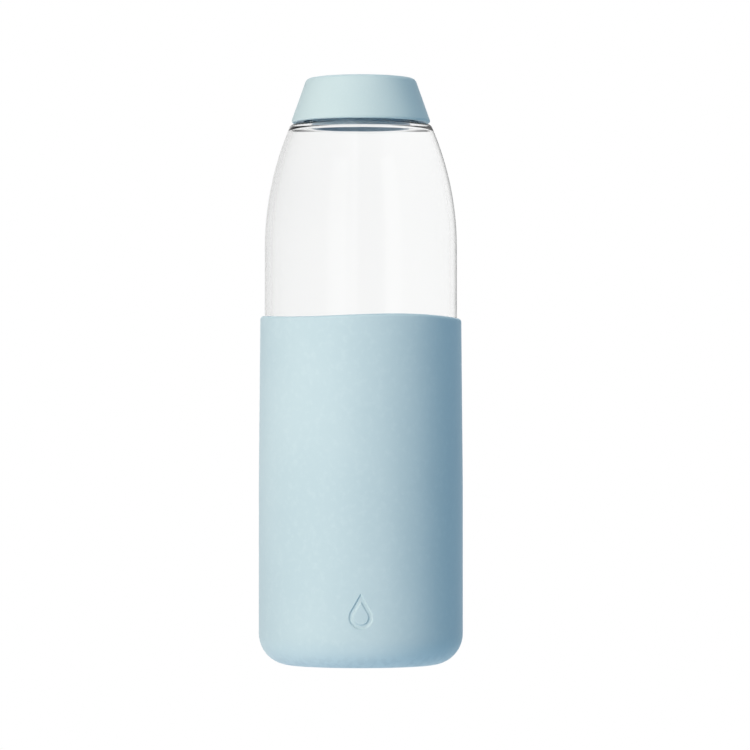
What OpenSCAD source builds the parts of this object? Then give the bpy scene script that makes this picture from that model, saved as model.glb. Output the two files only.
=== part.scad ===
// Glass water bottle: a blown bottle in a silicone sleeve, with a two-piece screw lid and a seal ring.
// The origin is the middle of the underside, +Z is up and the pressed-in mark faces -Y.

/* [Sleeve] */
// Outer diameter of the sleeve's straight lower part
sleeve_d = 72; // [66:0.5:78]
// Height of the sleeve
sleeve_h = 122.5; // [105:0.5:135]
// Thickness of the sleeve at its side
sleeve_wall = 2; // [1.8:0.1:2.6]
// Thickness of the sleeve under the glass
sleeve_floor = 2; // [1.5:0.1:3]
// Radius of the rounded bottom corner
corner_r = 11; // [7:0.5:14]
// Height at which the side starts to thin towards the top edge
taper_z = 63; // [50:1:90]
// Amount that the side has thinned by at the top edge
taper = 0.5; // [0.2:0.1:0.6]
// Rounding of the outer top edge
lip_round = 1.2; // [0.6:0.1:1.2]

/* [Mark] */
// Half the width of the drop-shaped mark
drop_r = 4; // [3:0.25:6]
// Width of the mark's groove
drop_line = 1.3; // [0.8:0.1:2]
// Depth of the mark's groove
drop_depth = 0.5; // [0.3:0.1:0.8]
// Height of the middle of the mark's round end
drop_z = 18; // [16:0.5:40]

/* [Glass] */
// Gap between the glass and the sleeve's side
sleeve_gap = 0.1; // [0.05:0.01:0.1]
// Wall of the blown body
glass_wall = 2.3; // [1.8:0.1:3]
// Thickness of the base
base_t = 5; // [3:0.5:8]
// Amount by which the base's corner radius exceeds the one inside the sleeve
base_clearance = 0.6; // [0.3:0.1:1.5]
// Height of the hollow under the base
punt_h = 1.2; // [0.6:0.1:2]
// Height at which the side starts to curve in
dome_z = 147; // [144:1:150]
// Radius of the shoulder's curve, seen from the side
dome_r = 107.5; // [104:0.5:112]
// Radius of the same curve inside; the glass thins towards the mouth where this is larger
inner_dome_r = 120; // [106:0.5:122]
// Height of the flat ring round the mouth
deck_z = 190.3; // [188:0.1:192]
// Thickness of the glass in the flat ring
deck_t = 1.2; // [1:0.1:2.3]
// Rounding between the shoulder and the flat ring
deck_round = 1.3; // [0.8:0.1:3]
// Inner diameter of the mouth
mouth_d = 35; // [34:0.1:35.4]
// Wall of the mouth
mouth_wall = 1.8; // [1.6:0.1:1.9]
// Height of the mouth's rim above the flat ring
mouth_h = 7.2; // [7:0.1:8]

/* [Thread] */
// Rise in one turn of the two-start thread
lead = 6; // [5.6:0.1:6.4]
// Angle that each ridge covers
ridge_sweep = 150; // [120:10:160]
// Height of the ridges on the glass
glass_ridge = 0.7; // [0.5:0.05:0.7]
// Height of the ridges in the lid
lid_ridge = 0.65; // [0.5:0.05:0.65]

/* [Lid] */
// Diameter of the lid at its lower edge
lid_d = 49.5; // [49:0.1:51]
// Diameter that the sloping side reaches at the level of the top
lid_top_d = 38.35; // [37:0.1:40]
// Height of the lid
lid_h = 15.7; // [15:0.1:18]
// Gap between the lid's lower edge and the glass
lid_gap = 0.7; // [0.4:0.1:1]
// Rounding of the lid's top edge
lid_top_round = 2; // [1:0.1:2.5]
// Rounding of the lid's lower edge
lid_rim_round = 0.7; // [0.5:0.1:1.1]
// Thickness of the lid's top
lid_top_t = 1.5; // [1.2:0.1:2]
// Depth that the hollow plug reaches below the mouth's rim
plug_depth = 9.4; // [6:0.1:11]
// Depth of the hollow in the plug's underside
plug_recess = 2.4; // [0.5:0.1:3]
// Gap between the plug and the mouth
plug_gap = 0.15; // [0.1:0.01:0.3]
// Wall of the hollow plug
plug_wall = 1.5; // [1.2:0.1:2]
// Thickness of the seal ring
seal_t = 1.2; // [1:0.1:1.6]

/* [Hidden] */
$fn = 96;

sleeve_blue = [0.74, 0.83, 0.87];
lid_blue = [0.77, 0.85, 0.89];
core_blue = [0.62, 0.72, 0.78];
seal_white = [0.92, 0.93, 0.93];
clear_glass = [0.86, 0.93, 0.94, 0.45];

arc_steps = 10;
past = 1;                           // how far a cutting shape runs past the surface that it cuts
sliver = 0.4;                       // how far a ridge's root is sunk into its wall

sleeve_r = sleeve_d / 2;
sleeve_bore_r = sleeve_r - sleeve_wall;
sleeve_top_r = sleeve_r - taper;

glass_r = sleeve_bore_r - sleeve_gap;
base_corner = corner_r - sleeve_wall + base_clearance;
base_ring_r = glass_r - base_corner;
punt_r = 20;                        // radius of the hollow under the base
floor_round = 8;                    // rounding inside the base
inner_r = glass_r - glass_wall;
ceiling_z = deck_z - deck_t;
ceiling_round = 1;
mouth_r = mouth_d / 2;
neck_r = mouth_r + mouth_wall;
neck_round = 0.8;
rim_round = 0.6;
rim_z = deck_z + mouth_h;

lid_z = deck_z + lid_gap;
lid_r = lid_d / 2;
lid_top_z = lid_z + lid_h;
lid_slope = (lid_r - lid_top_d / 2) / lid_h;
lid_angle = atan(lid_slope);
shell_rim_w = 1.7;                  // width of the shell's lower edge
shell_rim_r = lid_r - shell_rim_w;
plate_z = rim_z + seal_t;
plate_t = 1.5;                      // thickness of the core's top plate
ledge_z = plate_z + plate_t;        // where the top plate meets the shell
shell_wall = 1.13;                  // wall of the shell beside the top plate, measured outwards
ledge_r = lid_r - lid_slope * (ledge_z - lid_z) - shell_wall;
ledge_w = 1.05;                     // width of the ledge that presses on the top plate
top_hollow_r = lid_top_d / 2 - lid_top_round;

thread_play = 0.2;                  // gap from a crest to the other part's root
thread_r = neck_r + glass_ridge + thread_play;
core_gap = 0.05;                    // gap between the core and the shell's sloping side
core_inset = 0.4;                   // how far the core's lower edge is above the shell's
core_z = lid_z + core_inset;
core_slope = (shell_rim_r - ledge_r) / (ledge_z - lid_z);
plug_r = mouth_r - plug_gap;
plug_round = 0.8;
plug_lip = 1.95;                    // width of the ring round the plug's underside

ridge_root_w = 1.3;
ridge_crest_w = 0.5;
ridge_end = 0.35;                   // share of its height that a ridge has at its two ends
ridge_step = 10;                    // degrees between the ridge's cross-sections
glass_ridge_z = rim_z - 4;          // middle of a ridge where it starts
ridge_engage = 0.9;                 // how far the lid's ridges run below the ones on the glass
lid_ridge_z = glass_ridge_z - ridge_engage;

// Points of an arc in the radius and height plane
function arc(x, z, r, from, to) =
    [for (i = [0:arc_steps]) let (a = from + (to - from) * i / arc_steps) [x + r * cos(a), z + r * sin(a)]];

// The shoulder: a curve of radius r from the side, which is side_r from the axis, rounded into a flat top
function shoulder(side_r, r, top, round) =
    let (x = side_r - r, end = asin((top - round - dome_z) / (r - round)))
    concat(
        arc(x, dome_z, r, 0, end),
        arc(x + (r - round) * cos(end), top - round, round, end, 90));

function backwards(points) = [for (i = [len(points) - 1:-1:0]) points[i]];

// Centre radius of a rounding that touches the lid's sloping side, at height z
function slope_x(z, round) = lid_r - lid_slope * (z - lid_z) - round / cos(lid_angle);

// Thread ridge: wide at root_r, narrow at crest_r, rising by lead in each turn from height z
module ridge(root_r, crest_r, z) {
    steps = ridge_sweep / ridge_step;
    out = sign(crest_r - root_r);
    rings = [for (i = [0:steps])
        let (a = i * ridge_step, mid = z + lead * a / 360)
        let (share = (i == 0 || i == steps) ? ridge_end : 1)
        let (tip = root_r + (crest_r - root_r) * share, root = root_r - out * sliver)
        for (p = [[root, -ridge_root_w / 2], [tip, -ridge_crest_w / 2],
                  [tip, ridge_crest_w / 2], [root, ridge_root_w / 2]])
            [p[0] * cos(a), p[0] * sin(a), mid + p[1]]];
    sides = [for (i = [0:steps - 1], k = [0:3])
        let (j = (k + 1) % 4)
        for (t = [[4 * i + k, 4 * i + j, 4 * i + 4 + j], [4 * i + k, 4 * i + 4 + j, 4 * i + 4 + k]])
            out > 0 ? t : [t[2], t[1], t[0]]];
    first = out > 0 ? [[3, 2, 1, 0]] : [[0, 1, 2, 3]];
    last = 4 * steps;
    end = out > 0 ? [[last, last + 1, last + 2, last + 3]] : [[last + 3, last + 2, last + 1, last]];
    polyhedron(rings, concat(sides, first, end));
}

module two_starts() {
    for (turn = [0, 180]) rotate(turn) children();
}

// Outline of a water drop: a round end at the origin and a point above it
module drop(r) {
    circle(r);
    polygon([[-r * cos(30), r / 2], [r * cos(30), r / 2], [0, 2 * r]]);
}

module drop_mark() {
    intersection() {
        rotate_extrude() translate([sleeve_r - drop_depth, 0]) square([drop_depth + past, taper_z]);
        translate([0, 0, drop_z]) rotate([90, 0, 0]) linear_extrude(sleeve_r + past) difference() {
            drop(drop_r);
            drop(drop_r - drop_line);
        }
    }
}

module silicone_sleeve() {
    inner_corner = corner_r - sleeve_wall;
    outline = concat(
        [[0, 0]],
        arc(sleeve_r - corner_r, corner_r, corner_r, -90, 0),
        [[sleeve_r, taper_z]],
        arc(sleeve_top_r - lip_round, sleeve_h - lip_round, lip_round, 0, 90),
        [[sleeve_bore_r, sleeve_h]],
        arc(sleeve_bore_r - inner_corner, sleeve_floor + inner_corner, inner_corner, 0, -90),
        [[0, sleeve_floor]]);
    color(sleeve_blue) difference() {
        rotate_extrude() polygon(outline);
        drop_mark();
    }
}

module glass_bottle() {
    floor_z = sleeve_floor + base_t;
    punt_curve = (pow(punt_r, 2) + pow(punt_h, 2)) / (2 * punt_h);
    outside = concat(
        arc(0, sleeve_floor + punt_h - punt_curve, punt_curve, 90, 90 - asin(punt_r / punt_curve)),
        arc(base_ring_r, sleeve_floor + base_corner, base_corner, -90, 0),
        shoulder(glass_r, dome_r, deck_z, deck_round),
        arc(neck_r + neck_round, deck_z + neck_round, neck_round, -90, -180),
        arc(neck_r - rim_round, rim_z - rim_round, rim_round, 0, 90));
    inside = concat(
        arc(mouth_r + rim_round, rim_z - rim_round, rim_round, 90, 180),
        [[mouth_r, ceiling_z]],
        backwards(shoulder(inner_r, inner_dome_r, ceiling_z, ceiling_round)),
        arc(inner_r - floor_round, floor_z + floor_round, floor_round, 0, -90),
        [[0, floor_z]]);
    color(clear_glass) union() {
        rotate_extrude() polygon(concat(outside, inside));
        two_starts() ridge(neck_r, neck_r + glass_ridge, glass_ridge_z);
    }
}

module seal_ring() {
    plug_clearance = 0.1;
    overhang = 0.3;                 // how far the ring reaches past the glass
    bevel = 0.2;
    inner = plug_r + plug_clearance;
    outer = neck_r + overhang;
    color(seal_white) rotate_extrude() polygon([
        [inner + bevel, rim_z], [outer - bevel, rim_z],
        [outer, rim_z + bevel], [outer, plate_z - bevel],
        [outer - bevel, plate_z], [inner + bevel, plate_z],
        [inner, plate_z - bevel], [inner, rim_z + bevel]]);
}

module cap_core() {
    plug_z = rim_z - plug_depth;
    plug_floor_z = plug_z + plug_recess + plug_wall;
    skirt_r = shell_rim_r - core_gap - core_slope * (core_z - lid_z);
    plate_r = ledge_r - core_gap;
    lead_in = 0.3;                  // bevel at the mouth of the thread
    outline = concat(
        [[0, plug_z + plug_recess], [plug_r - plug_lip, plug_z + plug_recess], [plug_r - plug_lip, plug_z]],
        arc(plug_r - plug_round, plug_z + plug_round, plug_round, -90, 0),
        [[plug_r, plate_z], [thread_r, plate_z], [thread_r, core_z + lead_in], [thread_r + lead_in, core_z],
         [skirt_r, core_z], [plate_r, ledge_z], [plug_r - plug_wall, ledge_z],
         [plug_r - plug_wall, plug_floor_z], [0, plug_floor_z]]);
    color(core_blue) union() {
        rotate_extrude() polygon(outline);
        two_starts() ridge(thread_r, thread_r - lid_ridge, lid_ridge_z);
    }
}

module cap_shell() {
    rim_centre_z = lid_z + lid_rim_round;
    top_centre_z = lid_top_z - lid_top_round;
    outline = concat(
        [[shell_rim_r, lid_z]],
        arc(slope_x(rim_centre_z, lid_rim_round), rim_centre_z, lid_rim_round, -90, lid_angle),
        arc(slope_x(top_centre_z, lid_top_round), top_centre_z, lid_top_round, lid_angle, 90),
        [[0, lid_top_z], [0, lid_top_z - lid_top_t], [top_hollow_r, lid_top_z - lid_top_t],
         [ledge_r - ledge_w, ledge_z], [ledge_r, ledge_z]]);
    color(lid_blue) rotate_extrude() polygon(outline);
}

silicone_sleeve();
glass_bottle();
seal_ring();
cap_core();
cap_shell();
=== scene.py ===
import math
import bmesh
import bpy
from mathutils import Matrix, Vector, noise


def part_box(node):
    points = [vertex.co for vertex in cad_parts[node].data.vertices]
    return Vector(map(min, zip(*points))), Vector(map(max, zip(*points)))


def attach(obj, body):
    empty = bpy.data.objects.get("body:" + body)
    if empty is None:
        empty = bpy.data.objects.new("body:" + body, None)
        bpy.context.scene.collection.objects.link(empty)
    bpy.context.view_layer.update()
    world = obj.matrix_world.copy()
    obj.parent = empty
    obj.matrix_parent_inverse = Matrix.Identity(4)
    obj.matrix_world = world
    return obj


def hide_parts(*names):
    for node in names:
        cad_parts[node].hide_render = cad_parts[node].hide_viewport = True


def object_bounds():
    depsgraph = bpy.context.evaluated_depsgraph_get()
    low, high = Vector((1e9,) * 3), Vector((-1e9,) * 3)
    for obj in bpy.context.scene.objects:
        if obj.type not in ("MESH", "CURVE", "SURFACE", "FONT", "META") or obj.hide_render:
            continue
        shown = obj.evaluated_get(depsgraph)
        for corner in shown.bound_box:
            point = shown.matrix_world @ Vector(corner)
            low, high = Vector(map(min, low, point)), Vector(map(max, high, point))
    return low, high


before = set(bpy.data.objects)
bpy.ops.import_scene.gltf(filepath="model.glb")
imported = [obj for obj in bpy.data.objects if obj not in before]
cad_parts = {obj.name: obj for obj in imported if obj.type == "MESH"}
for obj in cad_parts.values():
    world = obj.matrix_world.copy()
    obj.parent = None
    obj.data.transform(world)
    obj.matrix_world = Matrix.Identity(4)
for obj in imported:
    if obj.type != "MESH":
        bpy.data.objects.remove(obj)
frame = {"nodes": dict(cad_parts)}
cadLow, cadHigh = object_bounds()
mm = 0.001
print("frame loaded:", ", ".join(frame["nodes"]))


def extent(node):  # outer radius, lowest and highest point of a node, in millimetres
    low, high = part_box(node)
    return high.x / mm, low.z / mm, high.z / mm


sleeveRadius, tableHeight, sleeveTop = extent("silicone_sleeve")
glassRadius, glassFoot, rimHeight = extent("glass_bottle")
sealRadius, sealFoot, sealTop = extent("seal_ring")
coreRadius, plugFoot, coreTop = extent("cap_core")
capFoot, capTop = extent("cap_shell")[1:]

mesh = {
    "segments": 240,          # round each piece
    "arcSteps": 14,
    "cornerSteps": 8,
    "fineCornerSteps": 12,    # on the sleeve and the lid's cover
    "axisRadius": 0.001,      # nearer the axis than this, a ring is a single point
}


# An outline is a list of (radius, height) in millimetres.
def arc(centre, radius, start, end, steps=mesh["arcSteps"]):  # angles in degrees from the outward direction
    turns = [math.radians(start + (end - start) * step / steps) for step in range(steps + 1)]
    return [(centre[0] + radius * math.cos(turn), centre[1] + radius * math.sin(turn)) for turn in turns]


def soften(corners, steps=mesh["cornerSteps"]):  # a corner is (radius, height, rounding)
    points = []
    for index, (x, z, rounding) in enumerate(corners):
        corner = Vector((x, z))
        if not rounding:
            points.append((x, z))
            continue
        back = (Vector(corners[index - 1][:2]) - corner).normalized()
        ahead = (Vector(corners[(index + 1) % len(corners)][:2]) - corner).normalized()
        half = back.angle(ahead) / 2
        centre = corner + (back + ahead).normalized() * rounding / math.sin(half)
        first = corner + back * rounding / math.tan(half) - centre
        last = corner + ahead * rounding / math.tan(half) - centre
        points += [tuple(centre + first.slerp(last, step / steps) * rounding) for step in range(steps + 1)]
    return points


def divide(points, longest):  # adds points so that no span is longer than longest(radius, height)
    divided = points[:1]
    for (x, z), (nextX, nextZ) in zip(points, points[1:]):
        limit = longest((x + nextX) / 2, (z + nextZ) / 2)
        spans = max(1, math.ceil(math.hypot(nextX - x, nextZ - z) / limit))
        for span in range(1, spans + 1):
            divided.append((x + (nextX - x) * span / spans, z + (nextZ - z) * span / spans))
    return divided


def evenAngles(count=mesh["segments"]):
    return [2 * math.pi * step / count for step in range(count)]


def smooth(value, low, high):  # 0 below low, 1 above high
    share = min(1, max(0, (value - low) / (high - low)))
    return share * share * (3 - 2 * share)


def revolve(name, outline, angles, shape=None, closed=False):
    # turns an outline into a solid; angle 0 is the front, and shape moves a point before it is placed
    builder = bmesh.new()
    rings = []
    for radius, height in outline:
        turns = angles if radius > mesh["axisRadius"] else angles[:1]
        spots = [(radius, height, angle) for angle in turns]
        if shape:
            spots = [(*shape(*spot), spot[2]) for spot in spots]
        points = [(r * math.sin(a) * mm, -r * math.cos(a) * mm, z * mm) for r, z, a in spots]
        rings.append([builder.verts.new(point) for point in points])
    pairs = list(zip(rings, rings[1:] + rings[:1]))
    for lower, upper in pairs if closed else pairs[:-1]:
        for step in range(len(angles)):
            after = (step + 1) % len(angles)
            corners = [lower[step % len(lower)], lower[after % len(lower)],
                       upper[after % len(upper)], upper[step % len(upper)]]
            builder.faces.new(list(dict.fromkeys(corners)))
    bmesh.ops.recalc_face_normals(builder, faces=builder.faces)
    data = bpy.data.meshes.new(name)
    builder.to_mesh(data)
    builder.free()
    data.polygons.foreach_set("use_smooth", [True] * len(data.polygons))
    piece = bpy.data.objects.new(name, data)
    bpy.context.collection.objects.link(piece)
    print("made", name, len(data.vertices), "points")
    return piece


class Wire:  # an output socket; arithmetic on it adds Math nodes
    def __init__(self, recipe, socket):
        self.recipe = recipe
        self.socket = socket

    def maths(self, operation, *values):
        return self.recipe.node("ShaderNodeMath", {"operation": operation}, dict(enumerate(values)))

    def __add__(self, other):
        return self.maths("ADD", self, other)

    def __radd__(self, other):
        return self.maths("ADD", other, self)

    def __sub__(self, other):
        return self.maths("SUBTRACT", self, other)

    def __rsub__(self, other):
        return self.maths("SUBTRACT", other, self)

    def __mul__(self, other):
        return self.maths("MULTIPLY", self, other)

    def __rmul__(self, other):
        return self.maths("MULTIPLY", other, self)

    def greater(self, other):
        return self.maths("MAXIMUM", self, other)

    def lesser(self, other):
        return self.maths("MINIMUM", self, other)


class Recipe:  # the node tree of a material or of the world
    def __init__(self, owner):
        owner.use_nodes = True
        self.tree = owner.node_tree
        self.tree.nodes.clear()

    def find(self, sockets, key):
        if isinstance(key, int):
            return sockets[key]
        return next(s for s in sockets if key in (s.identifier, s.name))

    def node(self, kind, settings=None, inputs=None, output=0):
        made = self.tree.nodes.new(kind)
        for setting, value in (settings or {}).items():
            setattr(made, setting, value)
        for key, value in (inputs or {}).items():
            socket = self.find(made.inputs, key)
            if isinstance(value, Wire):
                self.tree.links.new(value.socket, socket)
            else:
                socket.default_value = value
        return Wire(self, self.find(made.outputs, output)) if made.outputs else made

    def mix(self, share, first, second):  # colours
        return self.node("ShaderNodeMix", {"data_type": "RGBA"},
                         {"Factor_Float": share, "A_Color": first, "B_Color": second}, "Result_Color")

    def mixShaders(self, share, first, second):
        return self.node("ShaderNodeMixShader", {}, {0: share, 1: first, 2: second})

    def lightPath(self, ray):  # 1 for that kind of ray, 0 for the others
        return self.node("ShaderNodeLightPath", output=ray)

    def vector(self, operation, first, second):
        return self.node("ShaderNodeVectorMath", {"operation": operation}, {0: first, 1: second})

    def place(self):  # where a point is on the piece, in metres
        return self.node("ShaderNodeTexCoord", output="Object")

    def split(self, vector):
        parts = self.node("ShaderNodeSeparateXYZ", {}, {0: vector})
        return [Wire(self, parts.socket.node.outputs[index]) for index in range(3)]

    def grain(self, vector, scale, detail=2.0, roughness=0.5):  # noise from 0 to 1
        return self.node("ShaderNodeTexNoise", {"noise_dimensions": "3D"},
                         {"Vector": vector, "Scale": scale, "Detail": detail, "Roughness": roughness}, "Fac")

    def rise(self, value, low, high, bottom=0.0, top=1.0):  # smoothly from bottom to top
        ends = {"From Min": low, "From Max": high, "To Min": bottom, "To Max": top}
        return self.node("ShaderNodeMapRange", {"interpolation_type": "SMOOTHSTEP"},
                         {"Value": value} | ends, "Result")

    def bump(self, height, depth, strength):
        return self.node("ShaderNodeBump", {},
                         {"Strength": strength, "Distance": depth, "Height": height}, "Normal")


def finish(name, build):  # a material whose Principled shader takes what build(recipe) returns
    material = bpy.data.materials.new(name)
    recipe = Recipe(material)
    surface = recipe.node("ShaderNodeBsdfPrincipled", {}, build(recipe))
    recipe.node("ShaderNodeOutputMaterial", {}, {"Surface": surface})
    return material


def colour(red, green, blue):
    return (red, green, blue, 1.0)


sleeve = {
    "wall": 2.0,
    "cornerRounding": 11.0,
    "taperStart": 63.0,       # height at which the wall starts to thin
    "topRadius": sleeveRadius - 0.5,
    "topRounding": 1.2,
    "innerEdgeRounding": 0.25,
    "innerFootRounding": 9.0,
    "footRecess": 0.6,        # depth of the moulded recess in the underside
    "footRecessRadius": 19.0,
    "footRecessSlope": 1.0,
    "footRecessRoundings": (0.4, 0.5),
    "edgeWave": 0.45,         # how far the loose top edge rises and falls
    "edgeWaves": 3,
    "edgeWaveTurn": 25,       # degrees from the front to a crest of the wave
    "edgeWaveSink": 0.4,      # share of the wave that the whole edge is lowered by
    "edgeWaveReach": 28.0,    # how far down the wave fades out
    "unevenness": 0.05,
    "unevenScale": 1.7,
    "unevenStretch": 0.012,   # how fast the unevenness changes up the wall
    "evenFoot": 2.0,          # no unevenness below this height
    "outerDepth": 1.6,        # points this near the largest radius belong to the outside
    "dropRadius": 4.0,
    "dropHeight": 18.0,
    "dropLine": 1.3,
    "dropDepth": 0.55,
    "dropEdge": 0.22,
    "dropMargin": 1.0,        # the fine mesh reaches this far past the drop
    "fineStep": 0.24,         # degrees between points across the drop
    "fineSpan": 0.16,         # and millimetres up it
    "coarseSteps": 236,
    "span": 1.6,
}

silicone = {
    "tone": colour(0.530, 0.640, 0.670),
    "shade": colour(0.495, 0.610, 0.645),
    "bloom": colour(0.600, 0.700, 0.720),
    "scuffTone": colour(0.36, 0.46, 0.50),
    "scuffHeights": (0.0005, 0.0075),   # metres above the table
    "scuffRange": (0.42, 0.62),
    "scuffShare": 0.35,
    "cloudScale": 22.0,
    "cloudRange": (0.32, 0.7),
    "powderScale": 420.0,
    "powderRange": (0.45, 0.75),
    "powderShare": 0.28,
    "poreScale": 1900.0,
    "fineDetail": 3.0,
    "fineRoughness": 0.6,
    "roughness": 0.5,
    "roughnessOf": {"cloud": 0.12, "powder": 0.06, "scuffed": 0.1},
    "reliefOf": {"pores": 0.6, "powder": 0.8},
    "reliefDepth": 0.00006,
    "reliefStrength": 0.5,
}


def dropDistance(x, z, radius):  # to the edge of a drop two radii tall above its round end; below 0 inside
    x = abs(x)
    leanX, leanZ = math.cos(math.pi / 6), math.sin(math.pi / 6)
    along = z * leanX - x * leanZ
    if along < 0:
        return math.hypot(x, z) - radius
    if along > radius * math.sqrt(3):
        return math.hypot(x, z - 2 * radius)
    return x * leanX + z * leanZ - radius


def shapeSleeve(radius, height, angle):
    if radius > sleeveRadius - sleeve["outerDepth"] and height > sleeve["evenFoot"]:
        spot = Vector((math.sin(angle), math.cos(angle), height * sleeve["unevenStretch"]))
        radius -= sleeve["unevenness"] * (1 + noise.noise(spot * sleeve["unevenScale"])) / 2
        across = (angle + math.pi) % (2 * math.pi) - math.pi
        middle = dropDistance(across * sleeveRadius, height - sleeve["dropHeight"], sleeve["dropRadius"])
        fromLine = abs(middle + sleeve["dropLine"] / 2) - sleeve["dropLine"] / 2
        radius -= sleeve["dropDepth"] * (1 - smooth(fromLine, -sleeve["dropEdge"], sleeve["dropEdge"]))
    fade = smooth(height, sleeveTop - sleeve["edgeWaveReach"], sleeveTop)
    wave = math.cos(sleeve["edgeWaves"] * (angle - math.radians(sleeve["edgeWaveTurn"])))
    return radius, height + sleeve["edgeWave"] * fade * (wave - sleeve["edgeWaveSink"])


def makeSleeve():
    inner = sleeveRadius - sleeve["wall"]
    recess, recessTop = sleeve["footRecessRadius"], sleeve["footRecess"]
    upperRounding, lowerRounding = sleeve["footRecessRoundings"]
    markLow = sleeve["dropHeight"] - sleeve["dropRadius"] - sleeve["dropMargin"]
    markHigh = sleeve["dropHeight"] + 2 * sleeve["dropRadius"] + sleeve["dropMargin"]
    outline = soften([
        (0, recessTop, 0), (recess, recessTop, upperRounding),
        (recess + sleeve["footRecessSlope"], tableHeight, lowerRounding),
        (sleeveRadius, tableHeight, sleeve["cornerRounding"]),
        (sleeveRadius, markLow, 0), (sleeveRadius, markHigh, 0), (sleeveRadius, sleeve["taperStart"], 0),
        (sleeve["topRadius"], sleeveTop, sleeve["topRounding"]),
        (inner, sleeveTop, sleeve["innerEdgeRounding"]),
        (inner, glassFoot, sleeve["innerFootRounding"]), (0, glassFoot, 0)], mesh["fineCornerSteps"])
    markHalf = math.degrees((sleeve["dropRadius"] + sleeve["dropMargin"]) / sleeveRadius)
    rest, fineStep, coarseSteps = 360 - 2 * markHalf, sleeve["fineStep"], sleeve["coarseSteps"]
    fine = [math.radians(-markHalf + fineStep * step) for step in range(int(2 * markHalf / fineStep) + 1)]
    coarse = [math.radians(markHalf + rest * step / coarseSteps) for step in range(1, coarseSteps)]

    def longest(radius, height):
        onMark = radius > sleeveRadius - sleeve["outerDepth"] and markLow < height < markHigh
        return sleeve["fineSpan"] if onMark else sleeve["span"]

    return revolve("sleeve", divide(outline, longest), fine + coarse, shapeSleeve)


def siliconeFinish(recipe):
    place = recipe.place()
    height = recipe.split(place)[2]
    cloud = recipe.grain(place, silicone["cloudScale"], silicone["fineDetail"])
    powder = recipe.grain(place, silicone["powderScale"], silicone["fineDetail"], silicone["fineRoughness"])
    pores = recipe.grain(place, silicone["poreScale"], roughness=silicone["fineRoughness"])
    nearTable = recipe.rise(height, *silicone["scuffHeights"], 1.0, 0.0)
    scuffed = nearTable * recipe.rise(powder, *silicone["scuffRange"])
    base = recipe.mix(recipe.rise(cloud, *silicone["cloudRange"]), silicone["shade"], silicone["tone"])
    powdered = recipe.rise(powder, *silicone["powderRange"], 0.0, silicone["powderShare"])
    base = recipe.mix(powdered, base, silicone["bloom"])
    base = recipe.mix(scuffed * silicone["scuffShare"], base, silicone["scuffTone"])
    rough, relief = silicone["roughnessOf"], silicone["reliefOf"]
    roughness = (silicone["roughness"] + rough["cloud"] * cloud + rough["powder"] * powder
                 + rough["scuffed"] * scuffed)
    normal = recipe.bump(pores * relief["pores"] + powder * relief["powder"],
                         silicone["reliefDepth"], silicone["reliefStrength"])
    return {"Base Color": base, "Roughness": roughness, "Specular IOR Level": 0.4, "Sheen Weight": 0.12,
            "Sheen Roughness": 0.45, "Normal": normal}


bottle = {
    "wall": 2.3,
    "deckWall": 1.2,
    "base": 5.0,
    "footRounding": 9.6,
    "punt": 1.2,              # height of the hollow under the base
    "puntRadius": 20.0,
    "innerFootRounding": 8.0,
    "domeStart": 147.0,
    "domeCurve": 107.5,
    "innerDomeCurve": 120.0,  # flatter, so the glass thins towards the mouth
    "deck": rimHeight - 7.2,  # height of the flat ring round the mouth
    "deckRounding": 1.3,
    "ceilingRounding": 1.0,
    "mouthRadius": 17.5,
    "mouthWall": 1.8,
    "boreRounding": 0.6,      # where the bore meets the ceiling
    "neckRounding": 0.8,
    "rimRounding": 0.6,
    "ridge": 0.7,
    "ridgeStart": 3.2,        # height of the thread's lowest point above the flat ring
    "threadFoot": 1.0,        # the thread's fine mesh starts this far above the flat ring
    "threadDepths": (0.05, 0.3),  # within these of the neck's wall, points are moved and spans are fine
    "fineSpan": 0.25,
    "span": 2.5,
    "domeSteps": 40,
    "footSteps": 20,
}

glass = {
    "tones": (colour(0.988, 0.991, 0.990), colour(0.994, 0.996, 0.995)),
    "toneRange": (0.3, 0.7),
    "streakScale": 70.0,
    "streakShape": (1.0, 1.0, 0.12),  # drawn out up the wall
    "rippleScale": 26.0,
    "reliefDepth": 0.0006,
    "reliefStrength": 0.05,
    "depthTone": colour(0.835, 0.84, 0.838),  # what thick glass turns white light into
    "depthDensity": 50.0,
}

thread = {
    "lead": 6.0,              # rise in one turn
    "starts": (90, 270),      # degrees from the front to where each ridge begins
    "sweep": 150.0,           # degrees that each ridge covers
    "width": 1.5,
    "fade": 14.0,             # degrees over which a ridge runs out
    "fullness": 0.7,          # less than 1 makes the ridge blunter
}


def threadRidge(height, angle, foot):  # 0 on the wall, 1 on the crest of either ridge
    out = 0
    for start in thread["starts"]:
        along = (math.degrees(angle) - start) % 360
        if along < thread["sweep"]:
            off = abs(height - foot - thread["lead"] * along / 360) / (thread["width"] / 2)
            ends = smooth(min(along, thread["sweep"] - along), 0, thread["fade"])
            out = max(out, ends * ((1 + math.cos(math.pi * min(off, 1))) / 2) ** thread["fullness"])
    return out


def dome(side, curve, top, rounding):  # the shoulder, from the radius of the side, rounded into a flat top
    axis = side - curve
    end = math.degrees(math.asin((top - rounding - bottle["domeStart"]) / (curve - rounding)))
    turnIn = (axis + (curve - rounding) * math.cos(math.radians(end)), top - rounding)
    shoulder = arc((axis, bottle["domeStart"]), curve, 0, end, bottle["domeSteps"])
    return shoulder + arc(turnIn, rounding, end, 90)


def shapeBottle(radius, height, angle):
    neck = bottle["mouthRadius"] + bottle["mouthWall"]
    if height > bottle["deck"] + bottle["threadFoot"] and radius > neck - bottle["threadDepths"][0]:
        radius += bottle["ridge"] * threadRidge(height, angle, bottle["deck"] + bottle["ridgeStart"])
    return radius, height


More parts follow.
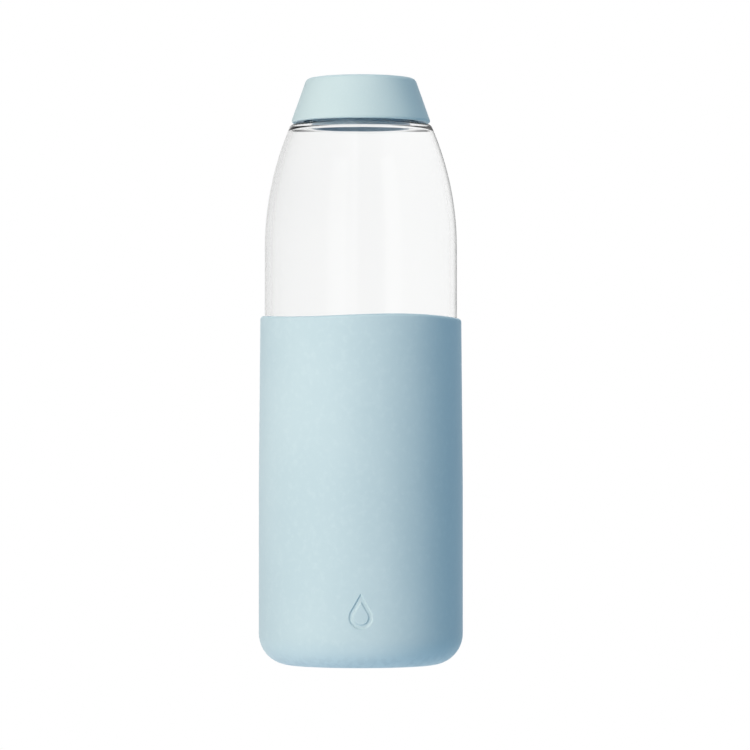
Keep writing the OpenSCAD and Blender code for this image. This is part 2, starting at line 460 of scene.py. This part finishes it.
def makeBottle():
    wall, punt = bottle["wall"], bottle["punt"]
    deck, ceiling = bottle["deck"], bottle["deck"] - bottle["deckWall"]
    neck, bore = bottle["mouthRadius"] + bottle["mouthWall"], bottle["mouthRadius"]
    foot, lip, root = bottle["footRounding"], bottle["rimRounding"], bottle["neckRounding"]
    innerFoot, inner, turn = bottle["innerFootRounding"], glassRadius - wall, bottle["boreRounding"]
    floor = glassFoot + bottle["base"]
    puntCurve = (bottle["puntRadius"] ** 2 + punt ** 2) / (2 * punt)
    puntEnd = 90 - math.degrees(math.asin(bottle["puntRadius"] / puntCurve))
    steps, footSteps = mesh["cornerSteps"], bottle["footSteps"]
    outside = (arc((0, glassFoot + punt - puntCurve), puntCurve, 90, puntEnd)
               + arc((glassRadius - foot, glassFoot + foot), foot, -90, 0, footSteps)
               + dome(glassRadius, bottle["domeCurve"], deck, bottle["deckRounding"])
               + arc((neck + root, deck + root), root, -90, -180, steps)
               + arc((neck - lip, rimHeight - lip), lip, 0, 90, steps))
    inside = (arc((bore + lip, rimHeight - lip), lip, 90, 180, steps)
              + arc((bore + turn, ceiling + turn), turn, 180, 270, steps)
              + dome(inner, bottle["innerDomeCurve"], ceiling, bottle["ceilingRounding"])[::-1]
              + arc((inner - innerFoot, floor + innerFoot), innerFoot, 0, -90, footSteps)
              + [(0, floor)])

    def longest(radius, height):
        onThread = height > deck + bottle["threadFoot"] and radius > neck - bottle["threadDepths"][1]
        return bottle["fineSpan"] if onThread else bottle["span"]

    return revolve("bottle", divide(outside + inside, longest), evenAngles(), shapeBottle)


def glassFinish():  # light shines straight through it, so that what it holds is lit
    material = bpy.data.materials.new("clearGlass")
    recipe = Recipe(material)
    place = recipe.place()
    streaks = recipe.grain(recipe.vector("MULTIPLY", place, glass["streakShape"]), glass["streakScale"])
    ripple = recipe.grain(place, glass["rippleScale"], 1.0)
    tint = recipe.mix(recipe.rise(ripple, *glass["toneRange"]), *glass["tones"])
    surface = recipe.node("ShaderNodeBsdfPrincipled", {}, {
        "Base Color": tint, "Roughness": 0.0, "IOR": 1.5, "Transmission Weight": 1.0,
        "Normal": recipe.bump(streaks + ripple, glass["reliefDepth"], glass["reliefStrength"])})
    for ray in ("Is Shadow Ray", "Is Diffuse Ray"):
        surface = recipe.mixShaders(recipe.lightPath(ray), surface, recipe.node("ShaderNodeBsdfTransparent"))
    depth = recipe.node("ShaderNodeVolumeAbsorption", {},
                        {"Color": glass["depthTone"], "Density": glass["depthDensity"]})
    recipe.node("ShaderNodeOutputMaterial", {}, {"Surface": surface, "Volume": depth})
    return material


core = {
    "plugRadius": bottle["mouthRadius"] - 0.15,
    "plugRounding": 0.8,
    "plugWall": 1.5,
    "plugRecess": 2.4,        # depth of the hollow in the plug's underside
    "plugRecessRadius": 15.4,
    "recessRounding": 0.6,
    "threadRadius": 20.2,
    "threadGap": 0.9,         # its ridges sit this far below the glass ones
    "ridge": 0.65,
    "skirtFoot": capFoot + 0.4,
    "topRadius": 20.3,
    "edgeRounding": 0.3,
    "seatRoundings": (0.15, 0.2),  # either side of the face that the seal lies on
    "threadEnds": (0.6, 0.5),      # plain wall left below and above the thread
    "threadBand": (1.0, 0.05),     # its points lie from outside the plug to just past the thread's wall
    "fineBand": 0.5,
    "fineSpan": 0.25,
    "span": 1.5,
    # painted shade: the core is the lid's pale blue, and these tones are made much darker to stand for the
    # shade it sits in under the lid
    "tones": (colour(0.17, 0.26, 0.33), colour(0.21, 0.30, 0.37)),
    "cloudScale": 60.0,
    "stippleScale": 900.0,
    "roughness": (0.34, 0.1),      # everywhere, and where the cloud is thickest
    "reliefDepth": 0.00003,
    "reliefStrength": 0.35,
}

shell = {
    "rimRadius": 24.75,       # where the sloping side would meet the level of the lower edge
    "topRadius": 19.175,      # and of the top
    "rimRounding": 0.7,
    "topRounding": 2.0,
    "innerRimRadius": 23.05,
    "innerRimRounding": 0.05,
    "ledgeRadius": 20.35,
    "ledge": 1.05,
    "ledgeRounding": 0.1,
    "top": 1.5,
    "hollowInset": 2.0,
    "hollowRounding": 1.0,
    "dish": 0.25,             # how far the top sinks in its middle
    "dishInset": 5.0,
    "dishFloorRadius": 4.0,
    "dishRounding": 3.0,
    "span": 1.2,
    "tone": colour(0.540, 0.640, 0.645),
    "shade": colour(0.510, 0.610, 0.620),
    "bloom": colour(0.595, 0.680, 0.688),
    "cloudScale": 30.0,
    "cloudRange": (0.3, 0.7),
    "stippleScale": 1300.0,
    "stippleRange": (0.45, 0.7),
    "stippleShare": 0.2,
    "stippleDetail": (3.0, 0.65),
    "roughness": (0.44, 0.12),
    "reliefDepth": 0.00004,
    "reliefStrength": 0.45,
}

seal = {
    "slack": 0.1,             # gap between the ring and the plug
    "rounding": 0.35,
    "tones": (colour(0.76, 0.79, 0.80), colour(0.84, 0.86, 0.865)),
    "cloudScale": 120.0,
    "stippleScale": 1200.0,
    "roughness": (0.38, 0.1),
    "reliefDepth": 0.00003,
    "reliefStrength": 0.3,
}


def makeShell():
    ceiling, floor = capTop - shell["top"], capTop - shell["dish"]
    side, bend = shell["topRadius"], shell["dishRounding"]
    outline = soften([
        (0, ceiling, 0), (side - shell["hollowInset"], ceiling, shell["hollowRounding"]),
        (shell["ledgeRadius"] - shell["ledge"], coreTop, shell["ledgeRounding"]),
        (shell["ledgeRadius"], coreTop, 0),
        (shell["innerRimRadius"], capFoot, shell["innerRimRounding"]),
        (shell["rimRadius"], capFoot, shell["rimRounding"]), (side, capTop, shell["topRounding"]),
        (side - shell["dishInset"], capTop, bend), (shell["dishFloorRadius"], floor, bend), (0, floor, 0)],
        mesh["fineCornerSteps"])
    return revolve("lidShell", divide(outline, lambda radius, height: shell["span"]), evenAngles())


def shapeCore(radius, height, angle):
    plugGap, wallDepth = core["threadBand"]
    skirt = core["plugRadius"] + plugGap < radius < core["threadRadius"] + wallDepth
    below, above = core["threadEnds"]
    if skirt and core["skirtFoot"] + below < height < sealTop - above:
        foot = bottle["deck"] + bottle["ridgeStart"] - core["threadGap"]
        radius -= core["ridge"] * threadRidge(height, angle, foot)
    return radius, height


def makeCore():
    plug, bore = core["plugRadius"], core["plugRadius"] - core["plugWall"]
    recess, recessTop, turn = core["plugRecessRadius"], plugFoot + core["plugRecess"], core["recessRounding"]
    wall, skirtFoot, edge = core["threadRadius"], core["skirtFoot"], core["edgeRounding"]
    innerSeat, outerSeat = core["seatRoundings"]
    floor = recessTop + core["plugWall"]
    outline = soften([
        (0, recessTop, 0), (recess, recessTop, turn), (recess, plugFoot, edge),
        (plug, plugFoot, core["plugRounding"]), (plug, sealTop, innerSeat), (wall, sealTop, outerSeat),
        (wall, skirtFoot, edge), (coreRadius, skirtFoot, edge), (core["topRadius"], coreTop, outerSeat),
        (bore, coreTop, edge), (bore, floor, turn), (0, floor, 0)])

    def longest(radius, height):
        return core["fineSpan"] if abs(radius - wall) < core["fineBand"] else core["span"]

    return revolve("lidCore", divide(outline, longest), evenAngles(), shapeCore)


def makeSeal():
    inner, rounding = core["plugRadius"] + seal["slack"], seal["rounding"]
    corners = ((inner, sealFoot), (sealRadius, sealFoot), (sealRadius, sealTop), (inner, sealTop))
    outline = soften([(radius, height, rounding) for radius, height in corners])
    return revolve("sealRing", outline, evenAngles(), closed=True)


def moulded(recipe, look, cloud, base, stipple):  # what the materials of the lid's pieces share
    plain, cloudy = look["roughness"]
    return {"Base Color": base, "Roughness": plain + cloudy * cloud,
            "Normal": recipe.bump(stipple, look["reliefDepth"], look["reliefStrength"])}


def lidFinish(recipe):
    place = recipe.place()
    cloud = recipe.grain(place, shell["cloudScale"])
    stipple = recipe.grain(place, shell["stippleScale"], *shell["stippleDetail"])
    base = recipe.mix(recipe.rise(cloud, *shell["cloudRange"]), shell["shade"], shell["tone"])
    speckle = recipe.rise(stipple, *shell["stippleRange"], 0.0, shell["stippleShare"])
    return moulded(recipe, shell, cloud, recipe.mix(speckle, base, shell["bloom"]), stipple)


# the core's colour is painted shade, a darkened copy of the lid's blue
def paintedShadeCoreFinish(recipe):
    place = recipe.place()
    cloud = recipe.grain(place, core["cloudScale"])
    stipple = recipe.grain(place, core["stippleScale"])
    return moulded(recipe, core, cloud, recipe.mix(cloud, *core["tones"]), stipple)


def sealFinish(recipe):
    place = recipe.place()
    cloud = recipe.grain(place, seal["cloudScale"])
    stipple = recipe.grain(place, seal["stippleScale"])
    look = moulded(recipe, seal, cloud, recipe.mix(cloud, *seal["tones"]), stipple)
    return look | {"Subsurface Weight": 0.2, "Subsurface Scale": 0.002}


def fit(piece, body, node, material):
    piece.data.materials.append(material)
    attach(piece, body)
    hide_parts(node)


fit(makeSleeve(), "sleeve", "silicone_sleeve", finish("softSilicone", siliconeFinish))
fit(makeBottle(), "bottle", "glass_bottle", glassFinish())
fit(makeSeal(), "seal", "seal_ring", finish("sealSilicone", sealFinish))
fit(makeCore(), "cap", "cap_core", finish("coreWithPaintedShade", paintedShadeCoreFinish))
fit(makeShell(), "cap", "cap_shell", finish("mattLid", lidFinish))

white = colour(1.0, 1.0, 1.0)

studio = {
    "eye": Vector((0, -1.412, 0.079)),
    "aim": Vector((0.005, 0, 0.102)),
    "lens": 192.0,
    "sensor": 36.0,
    "floorRadius": 1.6,
    "floorSegments": 96,
    "floorGap": 0.0002,
    "lampDistance": 1.3,
}

# degrees right of the front, degrees up, width and height, watts, tone, and the rays that don't see it
lamps = {
    "key": (-34, 10, (0.8, 0.9), 18.3, (1.0, 0.868, 0.735), "visible_glossy"),
    "fill": (15, 50, (0.8, 0.8), 0.9, (0.95, 0.98, 1.0), "visible_glossy"),
    "top": (0, 84, (0.5, 0.5), 5.0, (0.86, 0.94, 1.0), "visible_glossy"),
    "back": (180, 20, (1.0, 0.9), 9, (1.0, 0.97, 0.94), "visible_glossy"),
    "leftStrip": (-29, 5, (0.5, 1.6), 1.1, (1.0, 1.0, 1.0), "visible_diffuse"),
    "rightStrip": (39, 5, (0.45, 1.6), 0.9, (1.0, 1.0, 1.0), "visible_diffuse"),
}

room = {
    "even": 0.31,             # strength from every side
    "above": 0.1,             # and what is added from each of these
    "below": 0.6,
    "bounce": 0.6,            # from below on the left
    "behind": 0.45,
    "coolTone": colour(0.34, 0.70, 1.0),
    "paleTone": colour(0.95, 0.96, 0.97),
    "leftRange": (-0.9, 0.9),
    "behindRange": (0.2, 1.0),
}

mirrored = {                  # the grey walls that only reflections see
    "leftRange": (-0.95, -0.1),
    "greys": (0.2, 0.9),
    "edge": 0.62,             # how much darker the strip is that draws the edge of the glass
    "edgeStart": (-0.12, -0.02),
    "edgeEnd": (0.3, 0.6),
    "corner": 0.3,            # and how much darker the wall is high on the left
    "cornerSide": (-0.3, -0.05),
    "cornerHeight": (0.02, 0.3),
}


def paperFinish(recipe):
    return {"Base Color": colour(0.0, 0.0, 0.0), "Specular IOR Level": 0.0,
            "Emission Color": white, "Emission Strength": 1.0}


def makeFloor():
    builder = bmesh.new()
    bmesh.ops.create_circle(builder, cap_ends=True, segments=studio["floorSegments"],
                            radius=studio["floorRadius"])
    data = bpy.data.meshes.new("floor")
    builder.to_mesh(data)
    builder.free()
    floor = bpy.data.objects.new("floor", data)
    floor.location.z = -studio["floorGap"]
    bpy.context.collection.objects.link(floor)
    data.materials.append(finish("whitePaper", paperFinish))
    floor.visible_diffuse = False


def softbox(name, azimuth, elevation, size, power, tone, unseenBy):  # it faces the middle of the bottle
    lamp = bpy.data.lights.new(name, "AREA")
    lamp.shape = "RECTANGLE"
    lamp.size, lamp.size_y = size
    lamp.energy = power
    lamp.color = tone
    light = bpy.data.objects.new(name, lamp)
    turn, lift = math.radians(azimuth), math.radians(elevation)
    middle = Vector((0, 0, cadHigh.z / 2))
    away = Vector((math.sin(turn) * math.cos(lift), -math.cos(turn) * math.cos(lift), math.sin(lift)))
    light.location = middle + away * studio["lampDistance"]
    light.rotation_euler = away.to_track_quat("Z", "Y").to_euler()
    for rays in ("visible_camera", "visible_transmission", unseenBy):
        setattr(light, rays, False)
    bpy.context.collection.objects.link(light)


def makeWorld():
    world = bpy.data.worlds.new("studio")
    bpy.context.scene.world = world
    recipe = Recipe(world)
    x, y, z = recipe.split(recipe.node("ShaderNodeTexCoord", output="Generated"))
    left = recipe.rise(x, *room["leftRange"], 1.0, 0.0)
    behind = recipe.rise(y, *room["behindRange"])
    down = (z * -1.0).greater(0.0)
    bounce = left * down
    strength = (room["even"] + room["above"] * z.greater(0.0) + room["below"] * down
                + room["bounce"] * bounce + room["behind"] * behind)
    tone = recipe.mix((bounce + behind).lesser(1.0), room["coolTone"], room["paleTone"])
    edge = recipe.rise(x, *mirrored["edgeStart"]) * recipe.rise(x, *mirrored["edgeEnd"], 1.0, 0.0)
    corner = recipe.rise(x, *mirrored["cornerSide"], 1.0, 0.0) * recipe.rise(z, *mirrored["cornerHeight"])
    wall = recipe.rise(x, *mirrored["leftRange"], *mirrored["greys"])
    wall = wall - mirrored["edge"] * edge - mirrored["corner"] * corner
    lit = background(recipe, tone, strength)
    lit = recipe.mixShaders(recipe.lightPath("Is Glossy Ray"), lit, background(recipe, white, wall))
    straight = recipe.lightPath("Is Camera Ray").greater(recipe.lightPath("Is Transmission Ray"))
    surface = recipe.mixShaders(straight, lit, background(recipe, white, 1.0))
    recipe.node("ShaderNodeOutputWorld", {}, {"Surface": surface})


def background(recipe, tone, strength):
    return recipe.node("ShaderNodeBackground", {}, {"Color": tone, "Strength": strength})


def makeCamera():
    lens = bpy.data.cameras.new("view")
    lens.lens = studio["lens"]
    lens.sensor_width = studio["sensor"]
    camera = bpy.data.objects.new("view", lens)
    camera.location = studio["eye"]
    camera.rotation_euler = (studio["eye"] - studio["aim"]).to_track_quat("Z", "Y").to_euler()
    bpy.context.collection.objects.link(camera)
    bpy.context.scene.camera = camera


makeFloor()
for name, settings in lamps.items():
    softbox(name, *settings)
makeWorld()
makeCamera()
bpy.context.scene.view_settings.view_transform = "Standard"
print("studio ready")
